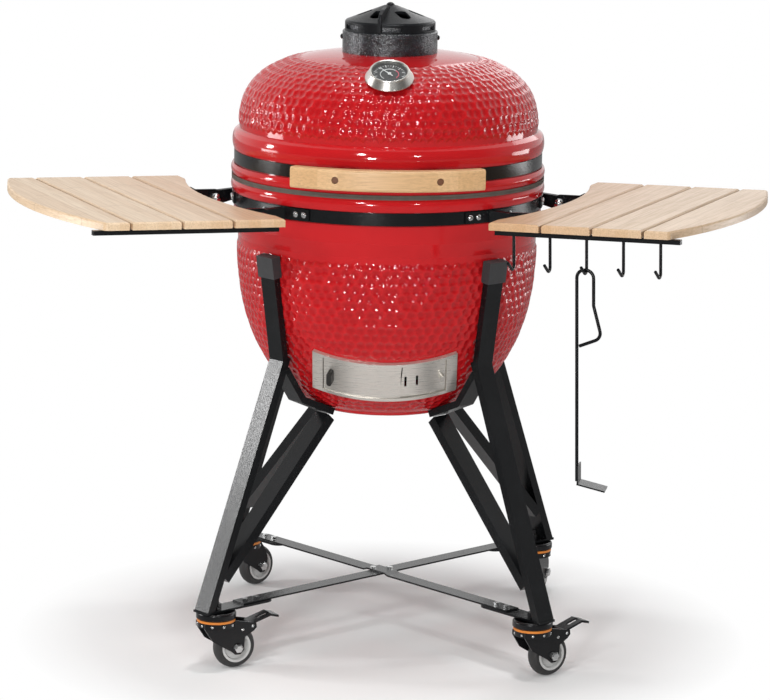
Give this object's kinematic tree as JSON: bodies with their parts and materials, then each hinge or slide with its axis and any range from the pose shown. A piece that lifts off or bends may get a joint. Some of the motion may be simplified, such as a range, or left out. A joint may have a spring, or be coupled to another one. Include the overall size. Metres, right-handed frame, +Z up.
{
  "type": "kamado ceramic grill",
  "caption": "Red ceramic kamado grill with hinged domed lid, top vent, draft door and folding bamboo side shelves, on a wheeled four-legged stand.",
  "frame": {"origin": "on the floor, on the vertical axis of the round ceramic body", "axes": "+Z up, -Y towards the front (the handle, gauge and draft door), +X to the right seen from the front"},
  "size_m": [1.3216, 0.9496, 1.1394],
  "materials": {
    "red_glaze": "glossy dimpled glaze",
    "fire_clay": "unglazed",
    "cast_iron": "seasoned",
    "felt": "woven felt",
    "black_steel": "satin powder coat",
    "black_fork": "gloss coat",
    "zinc": "bright zinc",
    "spring_steel": "oiled",
    "stainless": "brushed",
    "dark_plastic": "moulded",
    "bamboo": "oiled bamboo",
    "dial": "printed",
    "needle_white": "white",
    "glass": "clear",
    "cap_rubber": "matt",
    "orange_seal": "moulded",
    "tyre": "smooth",
    "wheel_grey": "moulded"
  },
  "bodies": {
    "base": {"base_shell": "red_glaze", "fire_box": "fire_clay", "charcoal_grate": "cast_iron", "fire_ring": "fire_clay", "cooking_grid": "stainless", "base_gasket": "felt", "base_band": "black_steel", "base_band_bolts": "zinc", "hinge_base_bracket": "black_steel", "hinge_pin": "zinc", "hinge_springs": "spring_steel", "draft_frame": "stainless", "shelf_brackets": "black_steel", "shelf_pivot_bolts": "zinc", "stand_legs": "black_steel", "post_caps": "cap_rubber", "cross_bars": "black_steel", "stand_bolts": "zinc", "caster_mounts": "black_steel", "caster_seals": "orange_seal"},
    "lid": {"lid_shell": "red_glaze", "lid_gasket": "felt", "lid_band": "black_steel", "lid_band_bolt": "zinc", "hinge_lid_bracket": "black_steel", "lid_handle": "bamboo", "handle_brackets": "black_steel", "handle_bolts": "zinc", "gauge_bezel": "stainless", "gauge_dial": "dial", "gauge_glass": "glass", "gauge_stem": "stainless", "vent_collar": "cast_iron", "vent_bolts": "zinc"},
    "vent_cap": {"vent_cap": "cast_iron"},
    "needle": {"gauge_needle": "needle_white"},
    "draft_door": {"draft_door": "stainless", "draft_door_knob": "dark_plastic"},
    "draft_screen": {"draft_screen": "stainless", "draft_screen_knob": "stainless"},
    "left_shelf": {"left_shelf_slats": "bamboo", "left_shelf_frame": "black_steel"},
    "right_shelf": {"right_shelf_slats": "bamboo", "right_shelf_frame": "black_steel", "shelf_hooks": "black_steel"},
    "rake": {"ash_rake": "black_steel"},
    "front_left_fork": {"front_left_fork": "black_fork"},
    "front_left_wheel": {"front_left_tyre": "tyre", "front_left_hub": "wheel_grey"},
    "front_left_pedal": {"front_left_pedal": "black_fork"},
    "front_right_fork": {"front_right_fork": "black_fork"},
    "front_right_wheel": {"front_right_tyre": "tyre", "front_right_hub": "wheel_grey"},
    "front_right_pedal": {"front_right_pedal": "black_fork"},
    "rear_left_fork": {"rear_left_fork": "black_fork"},
    "rear_left_wheel": {"rear_left_tyre": "tyre", "rear_left_hub": "wheel_grey"},
    "rear_right_fork": {"rear_right_fork": "black_fork"},
    "rear_right_wheel": {"rear_right_tyre": "tyre", "rear_right_hub": "wheel_grey"}
  },
  "joints": [
    {"name": "lid_hinge", "type": "hinge", "parent": "base", "child": "lid", "pos_m": [0, 0.313, 0.862], "axis": [-1, 0, 0], "range_deg": [0, 64], "deforming": ["hinge_springs"]},
    {"name": "vent_cap_turn", "type": "hinge", "parent": "lid", "child": "vent_cap", "pos_m": [0, 0, 1.09021], "axis": [0, 0, 1], "range_deg": [0, 30]},
    {"name": "needle_turn", "type": "hinge", "parent": "lid", "child": "needle", "pos_m": [0, -0.21154, 1.03769], "axis": [0, -0.4669, 0.8843], "range_deg": [-270, 0]},
    {"name": "draft_door_slide", "type": "hinge", "parent": "base", "child": "draft_door", "pos_m": [0, 0.005, 0.64765], "axis": [0, -0.5649, 0.8252], "range_deg": [0, 14]},
    {"name": "draft_screen_slide", "type": "hinge", "parent": "base", "child": "draft_screen", "pos_m": [0, 0.005, 0.64765], "axis": [0, -0.5649, 0.8252], "range_deg": [-14, 0]},
    {"name": "left_shelf_fold", "type": "hinge", "parent": "base", "child": "left_shelf", "pos_m": [-0.26195, -0.11227, 0.79], "axis": [0.3939, -0.9191, 0], "range_deg": [0, 80]},
    {"name": "right_shelf_fold", "type": "hinge", "parent": "base", "child": "right_shelf", "pos_m": [0.26195, -0.11227, 0.79], "axis": [0.3939, 0.9191, 0], "range_deg": [0, 80]},
    {"name": "rake_swing", "type": "hinge", "parent": "right_shelf", "child": "rake", "pos_m": [0.32327, -0.51989, 0.75254], "axis": [0.3939, 0.9191, 0], "range_deg": [-12, 12]},
    {"name": "front_left_swivel", "type": "hinge", "parent": "base", "child": "front_left_fork", "pos_m": [-0.28561, -0.26263, 0.09], "axis": [0, 0, 1], "continuous": true},
    {"name": "front_left_roll", "type": "hinge", "parent": "front_left_fork", "child": "front_left_wheel", "pos_m": [-0.25559, -0.24667, 0.038], "axis": [-0.4695, 0.8829, 0], "continuous": true},
    {"name": "front_left_brake", "type": "hinge", "parent": "front_left_fork", "child": "front_left_pedal", "pos_m": [-0.23086, -0.23352, 0.0745], "axis": [-0.4695, 0.8829, 0], "range_deg": [0, 12]},
    {"name": "front_right_swivel", "type": "hinge", "parent": "base", "child": "front_right_fork", "pos_m": [0.26263, -0.28561, 0.09], "axis": [0, 0, 1], "continuous": true},
    {"name": "front_right_roll", "type": "hinge", "parent": "front_right_fork", "child": "front_right_wheel", "pos_m": [0.29013, -0.26562, 0.038], "axis": [-0.5878, 0.809, 0], "continuous": true},
    {"name": "front_right_brake", "type": "hinge", "parent": "front_right_fork", "child": "front_right_pedal", "pos_m": [0.31279, -0.24916, 0.0745], "axis": [-0.5878, 0.809, 0], "range_deg": [0, 12]},
    {"name": "rear_left_swivel", "type": "hinge", "parent": "base", "child": "rear_left_fork", "pos_m": [-0.26263, 0.28561, 0.09], "axis": [0, 0, 1], "continuous": true},
    {"name": "rear_left_roll", "type": "hinge", "parent": "rear_left_fork", "child": "rear_left_wheel", "pos_m": [-0.23901, 0.31006, 0.038], "axis": [-0.7193, 0.6947, 0], "continuous": true},
    {"name": "rear_right_swivel", "type": "hinge", "parent": "base", "child": "rear_right_fork", "pos_m": [0.28561, 0.26263, 0.09], "axis": [0, 0, 1], "continuous": true},
    {"name": "rear_right_roll", "type": "hinge", "parent": "rear_right_fork", "child": "rear_right_wheel", "pos_m": [0.29611, 0.29496, 0.038], "axis": [-0.9511, 0.309, 0], "continuous": true}
  ]
}
